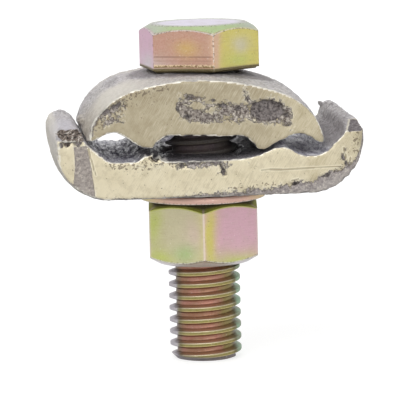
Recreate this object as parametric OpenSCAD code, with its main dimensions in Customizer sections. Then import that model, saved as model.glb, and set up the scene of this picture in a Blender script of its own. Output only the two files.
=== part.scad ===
// Parallel-groove cable clamp: two cast jaws drawn together by a hex bolt, a plain washer and a hex nut.
// Millimetres. The origin is the centre of the bolt's end face, and +Z runs up the bolt to its head.
// The cables lie along Y, one in the groove on each side of the bolt. The sawn front face looks along -Y.

/* [Bolt] */
// Major diameter of the thread
thread_d = 9.525; // [8:0.025:10.5]
// Pitch of the thread
thread_pitch = 1.5875; // [1.25:0.0125:2]
// Depth of the thread
thread_depth = 0.95; // [0.6:0.05:1.1]
// Length of the bolt under its head
bolt_length = 38.7; // [34:0.1:60]
// Height of the head
head_height = 6; // [4:0.1:9]
// Distance across the flats of the head and of the nut
hex_flats = 14.29; // [13:0.01:17]
// Slope of the chamfers on the head and the nut, in degrees
hex_chamfer = 30; // [20:1:40]
// Diameter of the flat inside the chamfer on top of the head
head_flat_d = 12.7; // [11:0.1:13.5]
// Bevel round the underside of the head
head_bevel = 0.5; // [0.2:0.05:1]
// Chamfer on the end of the bolt
end_chamfer = 0.8; // [0.3:0.1:1.5]
// Turn of the head about the bolt, in degrees
head_turn = 38; // [0:1:59]

/* [Nut and washer] */
// Height of the nut
nut_height = 8.5; // [6:0.05:11]
// Diameter of the flats inside the chamfers of the nut
nut_flat_d = 12.4; // [11:0.1:13.5]
// Turn of the nut about the bolt, in degrees
nut_turn = 25; // [0:1:59]
// Running clearance of the nut on the thread, on the radius
thread_clearance = 0.05; // [0.02:0.01:0.1]
// Outside diameter of the washer
washer_d = 16.8; // [15:0.1:22]
// Thickness of the washer
washer_t = 1; // [0.6:0.1:2.5]
// Play of the washer on the bolt, on the diameter
washer_play = 0.8; // [0.3:0.1:1.5]

/* [Both jaws] */
// Length of the jaws along the cables
jaw_depth = 25; // [20:0.5:40]
// Metal taken off the crowns where the head and the washer bear
seat_cut = 0.15; // [0.05:0.05:0.3]
// Play of the jaws on the bolt, on the diameter
hole_play = 1.5; // [1.2:0.1:2.5]
// Gap between the teeth and the ridges with the clamp closed
closing_gap = 0.35; // [0.3:0.05:3]

/* [Upper jaw] */
// Width of the upper jaw across the cables
upper_w = 30.6; // [28:0.1:34]
// Height of the upper jaw from its teeth to its crest
upper_h = 9.45; // [8:0.05:14]
// Fall of the roof along the cables, from the bolt to each end
roof_crown = 0.6; // [0.4:0.05:1.5]
// Radius of the crest
crest_r = 31; // [25:0.5:40]
// Slope between the crest and the shoulders, in degrees
roof_slope = 16.3; // [12:0.1:20]
// Radius of the shoulders
shoulder_r = 8.2; // [5:0.1:9]
// Rounding of the upright corners of the upper jaw
upper_corner_r = 1.2; // [0.5:0.1:3]
// Distance of the middle of each tooth from the middle of the jaw
tooth_x = 7.5; // [6.5:0.1:8.5]
// Width of the flat on each tooth
tooth_w = 1.4; // [0.8:0.1:2]
// Height of the bolt slot above the teeth
slot_h = 1.65; // [1:0.05:3]
// Height of the groove roofs above the teeth
groove_h = 2.3; // [1.5:0.1:3]
// Height of the outer tips above the teeth
tip_h = 0.75; // [0.5:0.05:1.2]
// Rock of the upper jaw, right end down, in degrees
upper_rock = 2.5; // [-3:0.5:3]
// Gap left at the bolt or the wing that the upper jaw is pushed against
push_gap = 0.05; // [0.03:0.01:0.3]

/* [Lower jaw] */
// Thickness of the base under the bolt slot
floor_t = 5.55; // [4:0.05:8]
// Rise of the underside along the cables, from the bolt to each end
base_crown = 0.85; // [0.4:0.05:1.5]
// Rise of the groove floors above the bolt slot's floor
groove_rise = 0.1; // [0.05:0.05:1]
// Distance of each ridge from the middle of the trough
ridge_x = 8.55; // [7.5:0.05:9.5]
// Height of the left ridge above the groove floors
ridge_h = 1.05; // [0.6:0.05:1.5]
// Extra height of the right ridge
ridge_extra = 0.3; // [0:0.05:0.35]
// Room between the upper jaw's ends and the wings
nest_gap = 1.35; // [1.2:0.05:4]
// Height of the wings above the groove floors
wing_h = 4.4; // [3.6:0.1:7]
// Thickness of the thinner wing at its top
wing_t = 2; // [1.5:0.05:4]
// Radius of the lower outer edges
base_r = 7.2; // [4:0.1:8]
// Rounding of the upright corners of the lower jaw
lower_corner_r = 1.2; // [0.5:0.1:2]
// Sideways shift of the trough in the jaw
trough_shift = 0.65; // [0:0.05:1]
// Length of the broken front corners of the wings
break_length = 7; // [4:0.5:9]
// Depth of the broken front corners of the wings
break_drop = 1.3; // [0.5:0.1:2]

/* [Hidden] */
$fn = 96;

// Corners of the thread's section over one pitch, as shares of the pitch and of the depth: crest, then root
thread_section = [[0, 0], [0.27, 0], [0.48, 1], [0.79, 1]];
// Height of a crest's middle above the end of the bolt, on the +X side
thread_crest_z = 1.18;
// Points round one turn of the thread
turn_steps = 24;
// Angle between points on the round parts of a jaw's outline
arc_step = 6;
// Facets of the long radius that crowns the jaws
crown_facets = 720;
// Part of an edge that the roundings at its two ends may take up together
edge_share = 0.97;
// Extra length that takes a cut or an envelope clear of a surface
clear = 1;
// Rise and run of each wing's slope from the groove floor up to its knee
slope_rise = 2.6;
slope_run = 2.9;
// Lean of the wings between knee and top
wing_lean = 0.7;
// Run of the left ridge's flank on the groove side and on the slot side
left_flank = 1.75;
left_slot_flank = 1.95;
// The same for the right ridge, whose slot side starts with a gentler toe
right_flank = 3;
right_slot_flank = 2.1;
toe_run = 3.4;
toe_rise = 0.55;
// Run of a tooth's flank in the bolt slot
tooth_flank = 1.3;

// Roundings inside the outlines
ridge_r = 1.2;
floor_r = 2.4;
tooth_r = 0.6;
groove_r = 2.2;
tip_r = 0.6;
wing_top_r = 1.8;
knee_r = 1.5;

// Heights of the closed clamp, worked out downwards from the underside of the head
head_seat_z = bolt_length;
crest_z = head_seat_z + seat_cut;
teeth_z = crest_z - upper_h;
ridge_z = teeth_z - closing_gap;
groove_z = ridge_z - ridge_h;
floor_z = groove_z - groove_rise;
base_z = floor_z - floor_t;
washer_seat_z = base_z + seat_cut;
nut_top_z = washer_seat_z - washer_t;
nut_z = nut_top_z - nut_height;
wing_z = groove_z + wing_h;
rock_z = (crest_z + teeth_z) / 2;

// The upper jaw is pushed to the left, as far as its rocked hole and the nearer wing let it go
rock_sway = sin(abs(upper_rock)) * upper_h / 2;
upper_shift = -max(0, min(hole_play / 2, nest_gap - trough_shift) - rock_sway - push_gap);

hole_d = thread_d + hole_play;
hex_corners_d = hex_flats / cos(30);
knee_x = upper_w / 2 + nest_gap;
wing_x = knee_x + wing_lean;
lower_w = 2 * (wing_x + trough_shift + wing_t);

function crown_r(fall) = (pow(jaw_depth / 2, 2) + fall * fall) / (2 * fall);
function unit(v) = v / norm(v);
function mirrored(points) = [for (i = [len(points) - 1 : -1 : 0]) [-points[i].x, points[i].y, points[i].z]];
function shifted(points, dx) = [for (p = points) [p.x + dx, p.y, p.z]];

// Corners are given as [x, y, rounding radius] and counted round the closed outline. Edge i runs from
// corner i to the next one.
function corner(corners, i) = corners[(i + len(corners)) % len(corners)];
function spot(corners, i) = [corner(corners, i).x, corner(corners, i).y];
function edge(corners, i) = spot(corners, i + 1) - spot(corners, i);
function half_angle(corners, i) = acos(-unit(edge(corners, i - 1)) * unit(edge(corners, i))) / 2;

// Length that the rounding of a corner takes from each of its edges, and the part of the roundings at its
// two ends that an edge has room for
function reach(corners, i) = corner(corners, i).z / tan(half_angle(corners, i));
function room(corners, i) =
    edge_share * norm(edge(corners, i)) / (reach(corners, i) + reach(corners, i + 1));

// Points of the arc that rounds a corner. The radius gives way where an edge is too short for it.
function corner_arc(corners, i) =
    let (
        half = half_angle(corners, i),
        fit = reach(corners, i) * min(1, room(corners, i - 1), room(corners, i)),
        fit_r = fit * tan(half),
        to_last = -unit(edge(corners, i - 1)),
        to_next = unit(edge(corners, i)),
        centre = spot(corners, i) + unit(to_last + to_next) * fit_r / sin(half),
        from_centre = spot(corners, i) + to_last * fit - centre,
        start = atan2(from_centre.y, from_centre.x),
        turn = sign(cross(to_next, to_last)) * (180 - 2 * half),
        steps = ceil(abs(turn) / arc_step)
    )
    [for (k = [0 : steps]) centre + fit_r * [cos(start + turn * k / steps), sin(start + turn * k / steps)]];

// Closed outline with its corners rounded
function rounded(corners) =
    [for (i = [0 : len(corners) - 1])
        each corner(corners, i).z == 0 ? [spot(corners, i)] : corner_arc(corners, i)];

// An XZ outline drawn out along Y, a little longer than the jaws
module along_cables(corners) {
    rotate([90, 0, 0])
        linear_extrude(jaw_depth + 2 * clear, center = true)
            polygon(rounded(corners));
}

// An XZ outline swept along Y on a long radius, so that it falls by the given amount at the ends of the
// jaw: side 1 bows its top up, side -1 its bottom down
module crowned(corners, crest, fall, side) {
    axis_z = crest - side * crown_r(fall);
    swept = [for (p = rounded(corners)) [side * (p.y - axis_z), p.x]];
    nearest = min([for (p = swept) p.x]);
    angle = 2 * asin((jaw_depth / 2 + clear) / nearest);
    translate([0, 0, axis_z])
        rotate([0, -side * 90, 0])
            rotate([0, 0, -angle / 2])
                rotate_extrude(angle = angle, $fn = crown_facets)
                    polygon(swept);
}

// Upright block with the plan of a jaw and rounded upright corners
module plan_block(width, corner_r, low, high) {
    translate([0, 0, low])
        linear_extrude(high - low) {
            square([width - 2 * corner_r, jaw_depth], center = true);
            square([width, jaw_depth - 2 * corner_r], center = true);
            for (x = [-1, 1], y = [-1, 1])
                translate([x * (width / 2 - corner_r), y * (jaw_depth / 2 - corner_r)])
                    circle(corner_r);
        }
}

// Hex prism with conical chamfers that leave round flats on its two ends
module hex_body(height, low_flat_d, high_flat_d) {
    rim_r = hex_corners_d / 2 + clear;
    fall = tan(hex_chamfer);
    intersection() {
        cylinder(d = hex_corners_d, h = height, $fn = 6);
        rotate_extrude()
            polygon([
                [0, 0],
                [low_flat_d / 2, 0],
                [rim_r, (rim_r - low_flat_d / 2) * fall],
                [rim_r, height - (rim_r - high_flat_d / 2) * fall],
                [high_flat_d / 2, height],
                [0, height]
            ]);
    }
}

// Triangles between a point and a closed rim
function fan(apex, rim) = [for (i = [0 : len(rim) - 1]) [apex, rim[i], rim[(i + 1) % len(rim)]]];

// Threaded rod that reaches past both ends of a shank. The thread's section stands at every step up a helix,
// and each turn closes against the next.
module thread_rod(length) {
    size = len(thread_section);
    turns = ceil(length / thread_pitch) + 3;
    steps = turns * turn_steps;
    first_z = thread_crest_z - (2 + thread_section[1].x / 2) * thread_pitch;
    points = [
        for (i = [0 : steps], corner = thread_section)
            let (
                angle = 360 * i / turn_steps,
                r = thread_d / 2 - corner.y * thread_depth,
                z = first_z + (i / turn_steps + corner.x) * thread_pitch
            )
            [r * cos(angle), r * sin(angle), z]
    ];
    ends = [[0, 0, first_z - thread_pitch], [0, 0, first_z + (turns + 1) * thread_pitch]];

    // Number of a section's corner k at step i: past the last corner comes the first one of the next turn
    function at(i, k) = (i + floor(k / size) * turn_steps) * size + k % size;
    last = at(steps, size - 1);
    bands = [
        for (i = [0 : steps - 1], k = [0 : size - 1])
            if (at(i + 1, k + 1) <= last)
                each [
                    [at(i, k), at(i + 1, k + 1), at(i + 1, k)],
                    [at(i, k), at(i, k + 1), at(i + 1, k + 1)]
                ]
    ];
    low_rim = concat(
        [for (i = [0 : turn_steps]) at(i, 0)],
        [for (k = [size - 1 : -1 : 1]) at(0, k)]
    );
    high_rim = concat(
        [for (k = [0 : size - 2]) at(steps, k)],
        [for (i = [steps : -1 : steps - turn_steps]) at(i, size - 1)]
    );
    polyhedron(
        concat(points, ends),
        concat(bands, fan(last + 1, low_rim), fan(last + 2, high_rim))
    );
}

// The shank: the rod cut off under the head, and chamfered at its end
module shank() {
    top_z = head_seat_z + clear;
    rim_r = thread_d / 2 + clear;
    intersection() {
        thread_rod(top_z);
        rotate_extrude()
            polygon([
                [0, 0],
                [thread_d / 2 - end_chamfer, 0],
                [rim_r, end_chamfer + clear],
                [rim_r, top_z],
                [0, top_z]
            ]);
    }
}

module bolt() {
    color("#c9b67a") {
        shank();
        translate([0, 0, head_seat_z])
            rotate([0, 0, head_turn])
                intersection() {
                    hex_body(head_height, hex_corners_d, head_flat_d);
                    cylinder(
                        d1 = hex_corners_d - 2 * head_bevel,
                        d2 = hex_corners_d + 2 * (head_height - head_bevel),
                        h = head_height,
                        $fn = 6
                    );
                }
    }
}

// Roof of the upper jaw: a crest, two slopes and round shoulders
module upper_roof() {
    apex_z = crest_z + crest_r * (1 / cos(roof_slope) - 1);
    shoulder_z = apex_z - tan(roof_slope) * upper_w / 2;
    low_z = teeth_z - clear;
    crowned([
        [-upper_w / 2, low_z, 0],
        [upper_w / 2, low_z, 0],
        [upper_w / 2, shoulder_z, shoulder_r],
        [0, apex_z, crest_r],
        [-upper_w / 2, shoulder_z, shoulder_r]
    ], crest_z, roof_crown, 1);
}

// Underside of the upper jaw: the bolt slot, two teeth, two groove roofs and two tips
module upper_underside() {
    half_w = upper_w / 2;
    tooth_in = tooth_x - tooth_w / 2;
    tooth_out = tooth_x + tooth_w / 2;
    right = [
        [tooth_in - tooth_flank, teeth_z + slot_h, floor_r],
        [tooth_in, teeth_z, tooth_r],
        [tooth_out, teeth_z, tooth_r],
        [(tooth_out + half_w) / 2, teeth_z + groove_h, groove_r],
        [half_w, teeth_z + tip_h, tip_r]
    ];
    top = [[half_w, crest_z + clear, 0], [-half_w, crest_z + clear, 0]];
    along_cables(concat(right, top, mirrored(right)));
}

module upper_jaw() {
    color("#cfc49c")
        difference() {
            translate([upper_shift, 0, rock_z])
                rotate([0, upper_rock, 0])
                    translate([0, 0, -rock_z])
                        difference() {
                            intersection() {
                                upper_roof();
                                upper_underside();
                                plan_block(upper_w, upper_corner_r, teeth_z - clear, crest_z + clear);
                            }
                            translate([0, 0, teeth_z - clear])
                                cylinder(d = hole_d, h = upper_h + 3 * clear);
                        }
            translate([0, 0, head_seat_z])
                cylinder(d = hex_corners_d + clear, h = head_height);
        }
}

// Base of the lower jaw, with its round lower edges
module lower_base() {
    half_w = lower_w / 2;
    top_z = wing_z + base_crown + clear;
    crowned([
        [-half_w, base_z, base_r],
        [half_w, base_z, base_r],
        [half_w, top_z, 0],
        [-half_w, top_z, 0]
    ], base_z, base_crown, -1);
}

// One side of the trough, from the groove floor out and up to the wing's top
function wing_side(flank_end) = [
    [flank_end, groove_z, floor_r],
    [knee_x - slope_run, groove_z, floor_r],
    [knee_x, groove_z + slope_rise, knee_r],
    [wing_x, wing_z, wing_top_r]
];

// Trough of the lower jaw: bolt slot, ridges, groove floors and the inner faces and tops of the wings
module lower_trough() {
    half_w = lower_w / 2;
    left = concat([
        [ridge_x - left_slot_flank, floor_z, floor_r],
        [ridge_x, ridge_z, ridge_r]
    ], wing_side(ridge_x + left_flank));
    right = concat([
        [ridge_x - right_slot_flank - toe_run, floor_z, floor_r],
        [ridge_x - right_slot_flank, floor_z + toe_rise, floor_r],
        [ridge_x, ridge_z + ridge_extra, ridge_r]
    ], wing_side(ridge_x + right_flank));
    outer = [
        [half_w, wing_z, wing_top_r],
        [half_w, base_z - clear, 0],
        [-half_w, base_z - clear, 0],
        [-half_w, wing_z, wing_top_r]
    ];
    along_cables(concat(
        shifted(right, trough_shift),
        outer,
        shifted(mirrored(left), trough_shift)
    ));
}

// The wedge that is missing from the front top of both wings
module wing_break() {
    front = -jaw_depth / 2;
    rotate([90, 0, 90])
        linear_extrude(lower_w + 2 * clear, center = true)
            polygon([
                [front + break_length, wing_z],
                [front, wing_z - break_drop],
                [front - clear, wing_z - break_drop * (1 + clear / break_length)],
                [front - clear, wing_z + clear],
                [front + break_length, wing_z + clear]
            ]);
}

module lower_jaw() {
    color("#cbbf95")
        difference() {
            intersection() {
                lower_base();
                lower_trough();
                plan_block(lower_w, lower_corner_r, base_z - clear, wing_z + clear);
            }
            wing_break();
            translate([0, 0, base_z - clear])
                cylinder(d = hole_d, h = wing_z - base_z + 2 * clear);
            translate([0, 0, base_z - clear])
                cylinder(d = washer_d + clear, h = washer_seat_z - base_z + clear);
        }
}

module washer() {
    color("#d3b3a6")
        translate([0, 0, nut_top_z])
            difference() {
                cylinder(d = washer_d, h = washer_t);
                translate([0, 0, -clear])
                    cylinder(d = thread_d + washer_play, h = washer_t + 2 * clear);
            }
}

module nut() {
    bore_r = thread_d / 2 + thread_clearance;
    color("#c5c07c")
        translate([0, 0, nut_z])
            rotate([0, 0, nut_turn])
                difference() {
                    hex_body(nut_height, nut_flat_d, nut_flat_d);
                    translate([0, 0, -clear])
                        cylinder(r = bore_r, h = nut_height + 2 * clear);
                }
}

bolt();
upper_jaw();
lower_jaw();
washer();
nut();
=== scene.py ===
import math

import bmesh
import bpy
import numpy as np
from mathutils import Matrix, Vector


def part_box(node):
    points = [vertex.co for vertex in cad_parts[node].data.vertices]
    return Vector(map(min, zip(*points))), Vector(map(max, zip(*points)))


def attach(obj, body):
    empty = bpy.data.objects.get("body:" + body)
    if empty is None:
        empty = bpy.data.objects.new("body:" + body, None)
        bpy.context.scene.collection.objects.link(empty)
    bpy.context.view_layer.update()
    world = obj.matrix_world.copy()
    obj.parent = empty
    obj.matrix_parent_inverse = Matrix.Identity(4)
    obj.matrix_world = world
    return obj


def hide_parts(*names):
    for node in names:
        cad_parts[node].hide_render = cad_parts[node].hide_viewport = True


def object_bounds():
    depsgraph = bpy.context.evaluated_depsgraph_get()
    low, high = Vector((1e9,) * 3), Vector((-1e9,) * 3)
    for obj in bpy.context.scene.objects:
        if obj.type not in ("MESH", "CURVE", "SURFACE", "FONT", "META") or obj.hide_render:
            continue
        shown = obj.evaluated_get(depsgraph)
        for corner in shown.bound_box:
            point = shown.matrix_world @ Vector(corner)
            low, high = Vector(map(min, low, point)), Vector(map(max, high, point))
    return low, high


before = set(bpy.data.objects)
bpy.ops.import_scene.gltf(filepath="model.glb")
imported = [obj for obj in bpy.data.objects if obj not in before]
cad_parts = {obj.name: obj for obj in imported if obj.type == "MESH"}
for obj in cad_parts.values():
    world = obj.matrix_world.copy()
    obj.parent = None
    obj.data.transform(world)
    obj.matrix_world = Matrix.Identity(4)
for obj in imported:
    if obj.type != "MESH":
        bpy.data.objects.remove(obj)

CAD_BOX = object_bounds()
MM = 0.001

# Sizes of the bolt, nut and washer, in millimetres
PITCH = 1.5875
MAJOR_R = 4.7625
MINOR_R = 3.8125
CREST_Z = 1.18         # height of a thread crest's middle on the +X side
HEX_FLATS = 14.29
HEAD_H = 6.0
HEAD_BEVEL = 0.5
HEAD_TURN = 38
NUT_TURN = 25
HEAD_FLAT_R = 6.35
NUT_FLAT_R = 6.2
NUT_BORE_R = 4.8125
NUT_BORE_CHAMFER = 0.45
HEAD_CORNER_R = 0.25
NUT_CORNER_R = 0.35
WASHER_GAP = 0.4       # between the thread and the washer's hole
WASHER_SOFT = 0.2      # rounding of the washer's edges
CHAMFER = math.tan(math.radians(30))
END_CHAMFER = 0.8
HALF_DEPTH = 12.5      # of the jaws along the cables
FRONT = -HALF_DEPTH    # plane of the jaws' front faces

VOXEL = 0.2            # grain of the jaws' meshes, in millimetres
SHARP = 35             # angle in degrees above which the edges of bolt, nut and washer stay sharp


def linear(colour):
    """Scene-linear values of a colour given as 0 to 255."""
    c = np.asarray(colour, float) / 255
    return np.where(c <= 0.04045, c / 12.92, ((c + 0.055) / 1.055) ** 2.4)


def rgba(colour):
    return (*linear(colour), 1.0)


# Noise for the meshes

def hashed(cell, seed):
    """A fixed number from -1 to 1 for each whole-numbered cell."""
    h = (cell[:, 0] * 73856093) ^ (cell[:, 1] * 19349663) ^ (cell[:, 2] * 83492791) ^ (seed * 265443576)
    h = ((h ^ (h >> 13)) * 1274126177) & 0x7FFFFFFF
    h = ((h ^ (h >> 15)) * 739982445) & 0x7FFFFFFF
    return ((h ^ (h >> 12)) & 0xFFFF) / 32767.5 - 1


def noise(points, size, seed=0):
    """Smooth noise from about -1 to 1, with lumps of the given size."""
    scaled = points / size
    cell = np.floor(scaled).astype(np.int64)
    t = scaled - cell
    t = t * t * (3 - 2 * t)
    total = np.zeros(len(points))
    for corner in np.ndindex(2, 2, 2):
        weight = np.prod(np.where(corner, t, 1 - t), axis=1)
        total += weight * hashed(cell + np.array(corner), seed)
    return total


def layered(points, size, layers=3, seed=0):
    total = sum(noise(points, size / 2 ** k, seed + k) * 0.5 ** k for k in range(layers))
    return total / (2 - 0.5 ** (layers - 1))


def ramp(value, low, high):
    """0 below low, 1 above high and smooth between."""
    t = np.clip((value - low) / (high - low), 0, 1)
    return t * t * (3 - 2 * t)


# Marks on the ground faces: distances in the XZ plane, above 0 inside a mark

def ellipses(x, z, shapes):
    """Depth inside the nearest of some ellipses, each (x, z, half width, half height, turn in degrees)."""
    depth = np.full(len(x), -9.0)
    for cx, cz, rx, rz, turn in shapes:
        c, s = math.cos(math.radians(turn)), math.sin(math.radians(turn))
        u = ((x - cx) * c + (z - cz) * s) / rx
        v = ((z - cz) * c - (x - cx) * s) / rz
        depth = np.maximum(depth, (1 - np.hypot(u, v)) * min(rx, rz))
    return depth


def strokes(x, z, shapes):
    """Depth inside the nearest of some straight strokes, each (start, end, half width)."""
    depth = np.full(len(x), -9.0)
    for (ax, az), (bx, bz), half in shapes:
        dx, dz = bx - ax, bz - az
        t = np.clip(((x - ax) * dx + (z - az) * dz) / (dx * dx + dz * dz), 0, 1)
        depth = np.maximum(depth, half - np.hypot(x - ax - t * dx, z - az - t * dz))
    return depth


# Skin that the grinder left, pits in it and islands of ground metal on the upper jaw's front face
UPPER_SKIN = [
    (-2.7, 34.9, 1.45, 1.45, 0), (-0.6, 34.1, 2.8, 1.3, 0), (2.9, 34.0, 2.6, 1.2, 0),
    (7.6, 33.9, 2.8, 1.6, -8), (-13.0, 34.6, 1.6, 0.6, 32), (-12.6, 33.5, 1.0, 0.4, 18),
    (-14.8, 32.9, 0.25, 0.5, -20), (4.9, 35.8, 0.2, 0.5, 15), (9.9, 32.7, 0.5, 0.8, 20),
    (-2.0, 35.95, 1.3, 0.45, -18),
]
UPPER_ISLANDS = [(-1.7, 34.95, 1.2, 0.6, -12), (0.25, 34.4, 0.75, 0.4, 10), (2.2, 33.4, 0.6, 0.2, 10)]
UPPER_PITS = [
    (7.4, 34.1, 2.3, 1.35, -6), (9.85, 33.4, 0.3, 0.3, 0), (10.2, 32.1, 0.25, 0.22, 0),
    (4.9, 35.8, 0.13, 0.4, 15), (-13.3, 34.6, 0.8, 0.4, 30), (-12.0, 35.3, 0.7, 0.3, 30),
    (-2.6, 36.0, 0.5, 0.25, -20), (-4.1, 34.6, 0.25, 0.4, 20), (0.5, 35.6, 0.35, 0.2, 0),
    (-2.9, 33.7, 0.5, 0.3, 0), (1.6, 34.9, 0.7, 0.3, 0), (3.6, 34.4, 0.5, 0.3, 20),
]
UPPER_FLECKS = [
    ((-11.5, 36.5), (-5.7, 37.6), 0.65), ((-14.0, 33.4), (-11.2, 35.4), 1.0),
    ((-10.0, 35.2), (-6.0, 35.7), 0.2),
]
# The same for the lower jaw's front face, with its crack
LOWER_SKIN = [(-1.9, 27.45, 3.4, 0.5, 0)]
LOWER_PITS = [
    (-18.5, 31.0, 0.7, 0.35, -10), (-17.0, 30.7, 0.5, 0.4, 20), (-19.2, 30.6, 0.25, 0.35, 0),
    (-6.9, 28.4, 0.7, 0.35, 20), (-1.5, 27.65, 2.4, 0.2, 0), (1.55, 26.4, 0.25, 0.35, 0),
    (-3.6, 27.3, 0.6, 0.25, 0), (0.6, 27.4, 0.4, 0.25, 0), (10.9, 24.5, 0.5, 0.2, 10),
    (14.9, 25.4, 0.5, 0.2, 20), (17.5, 28.6, 0.16, 0.4, -15), (17.1, 27.6, 0.2, 0.45, 10),
    (17.5, 26.9, 0.16, 0.3, -10),
]
LOWER_CRACKS = [((1.2, 27.3), (1.75, 26.0), 0.22)]
LOWER_FLECKS = [
    ((-12.9, 27.9), (-7.9, 27.4), 0.8), ((-7.8, 28.3), (-5.2, 27.8), 0.7),
    ((17.6, 28.7), (17.0, 26.5), 0.45), ((2.0, 24.2), (11.0, 24.8), 0.3),
    ((18.9, 30.8), (18.8, 27.6), 0.5), ((18.6, 30.0), (18.9, 28.4), 0.5),
]
# Thin lines on the lower jaw's front face: a long scratch, cracks beside the strip, nicks at the right edge
LOWER_LINES = [
    ((6.46, 26.38), (7.6, 26.44), 0.08), ((7.6, 26.44), (9.2, 26.36), 0.12),
    ((9.2, 26.36), (13.4, 26.44), 0.1), ((13.4, 26.44), (16.86, 26.5), 0.07),
    ((-15.66, 30.0), (-15.55, 29.0), 0.12), ((-15.55, 29.0), (-15.26, 28.2), 0.1),
    ((-15.26, 28.2), (-15.1, 27.3), 0.1), ((-15.1, 27.3), (-14.8, 26.5), 0.08),
    ((17.25, 28.9), (17.35, 28.4), 0.12), ((17.5, 28.0), (17.45, 27.5), 0.11),
    ((17.15, 27.7), (17.25, 27.3), 0.1), ((17.75, 26.9), (17.9, 26.45), 0.12),
    ((18.1, 27.6), (18.05, 27.2), 0.11), ((-9.6, 27.5), (-8.7, 27.35), 0.08),
    ((10.4, 24.9), (11.3, 25.05), 0.08),
]
# The cast strip down the left of the lower jaw's face: heights, then its left and right edges there
STRIP_Z = (23.5, 24.7, 27.5, 30.3)
STRIP_LEFT = (-17.6, -17.85, -17.45, -17.55)
STRIP_RIGHT = (-15.0, -15.1, -15.4, -15.9)
# Upper edge of the cast skin along the lower jaw's bottom edge, from left to right
SKIN_X = (-20, -4, -2.8, 1.3, 4.3, 7.6, 10.4, 11.5, 13.1, 14.1, 15.4, 17.4, 18.7, 19.4, 20)
SKIN_Z = (23.1, 23.2, 23.4, 23.6, 23.9, 24.0, 24.4, 24.8, 24.85, 25.3, 25.8, 26.5, 27.2, 28.6, 30.8)
# Marks of the rear faces
UPPER_BACK_SKIN = [(3.5, 34.2, 4.2, 1.1, 4), (-9, 33.6, 2.2, 1.2, 20)]
UPPER_BACK_PITS = [(5.2, 34.3, 1.6, 0.7, 5), (-9.4, 33.6, 0.7, 0.4, 20)]
LOWER_BACK_SKIN = [(9.5, 25, 5.5, 0.9, 8), (-12, 26, 2.4, 0.8, -15)]
LOWER_BACK_PITS = [(10.5, 25, 1.5, 0.35, 8), (-12.4, 26, 0.8, 0.3, -15)]
LOWER_BACK_SKIN_Z = 23.8

# Lumps on the wings and at the bolt slot's left end: x, y, z and radius
WING_LUMPS = [
    (17.6, 11.6, 32.2, 0.35), (18.1, 9.8, 32.35, 0.25), (18.5, 7.2, 32.35, 0.3),
    (18.8, 4.4, 32.4, 0.22), (19.0, 1.2, 32.35, 0.28), (19.3, -2.4, 32.3, 0.2),
    (-17.6, 10.5, 32.3, 0.3), (-18.4, 5.0, 32.35, 0.25), (-7.5, -11.9, 28.75, 0.45),
    (-6.7, -12.0, 28.35, 0.5), (-8.3, -11.8, 28.65, 0.35), (-5.9, -11.7, 28.1, 0.45),
    (-7.0, -10.4, 28.7, 0.5),
]
# Lumps in the upper jaw's bolt slot and on its left end, above the wing
UPPER_LUMPS = [
    (-5.9, -11.3, 30.9, 0.6), (-5.4, -11.2, 31.1, 0.6), (-4.9, -11.4, 31.45, 0.5),
    (-15.75, 0.0, 32.5, 0.55), (-15.65, 0.6, 31.95, 0.45), (-15.7, -3.5, 32.6, 0.4),
]

# How far the edges of the skin wander: ragged round the patches, straight along the strip
RAGGED = 2.4
STRAIGHT = 0.25


def upper_marks(x, z, front):
    """Depths inside the unground skin, pits and flecks of the upper jaw's sawn faces. It has no lines."""
    skin = np.minimum(ellipses(x, z, UPPER_SKIN), -ellipses(x, z, UPPER_ISLANDS))
    return {
        "skin": np.where(front, skin, ellipses(x, z, UPPER_BACK_SKIN)),
        "pit": np.where(front, ellipses(x, z, UPPER_PITS), ellipses(x, z, UPPER_BACK_PITS)),
        "fleck": np.where(front, strokes(x, z, UPPER_FLECKS), -1),
        "torn": np.full(len(x), RAGGED),
        "line": np.full(len(x), -1.0),
    }


def lower_marks(x, z, front):
    """The same for the lower jaw, with its strip, its bottom band, its crack and its thin lines."""
    strip = np.minimum(x - np.interp(z, STRIP_Z, STRIP_LEFT), np.interp(z, STRIP_Z, STRIP_RIGHT) - x)
    strip = np.minimum(strip, STRIP_Z[-1] - z)
    bottom = np.interp(x, SKIN_X, SKIN_Z) - z
    cracks = strokes(x, z, LOWER_CRACKS)
    unground = np.maximum(ellipses(x, z, LOWER_SKIN), bottom)
    in_strip = front & (strip > unground) & (strip > -0.6)
    patches = np.maximum(unground, cracks)
    pits = np.maximum(ellipses(x, z, LOWER_PITS), cracks)
    back_skin = np.maximum(ellipses(x, z, LOWER_BACK_SKIN), LOWER_BACK_SKIN_Z - z)
    return {
        "skin": np.where(front, np.maximum(strip, patches), back_skin),
        "pit": np.where(front, pits, ellipses(x, z, LOWER_BACK_PITS)),
        "fleck": np.where(front, strokes(x, z, LOWER_FLECKS), -1),
        "torn": np.where(in_strip, STRAIGHT, RAGGED),
        "line": np.where(front, strokes(x, z, LOWER_LINES), -1),
    }


# Meshes

def linked(name, data):
    """A new object in the scene."""
    made = bpy.data.objects.new(name, data)
    bpy.context.scene.collection.objects.link(made)
    return made


def new_piece(name, mesh, body, node):
    piece = linked(name, mesh)
    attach(piece, body)
    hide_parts(node)
    return piece


def attribute(mesh, name, values):
    mesh.attributes.new(name, "FLOAT", "POINT").data.foreach_set("value", np.asarray(values, np.float32))


def vertex_arrays(mesh):
    """Places, in millimetres, and normals of a mesh's vertices."""
    n = len(mesh.vertices)
    places, normals = np.empty(n * 3, np.float32), np.empty(n * 3, np.float32)
    mesh.vertices.foreach_get("co", places)
    mesh.vertices.foreach_get("normal", normals)
    return places.reshape(-1, 3).astype(float) / MM, normals.reshape(-1, 3).astype(float)


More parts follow.
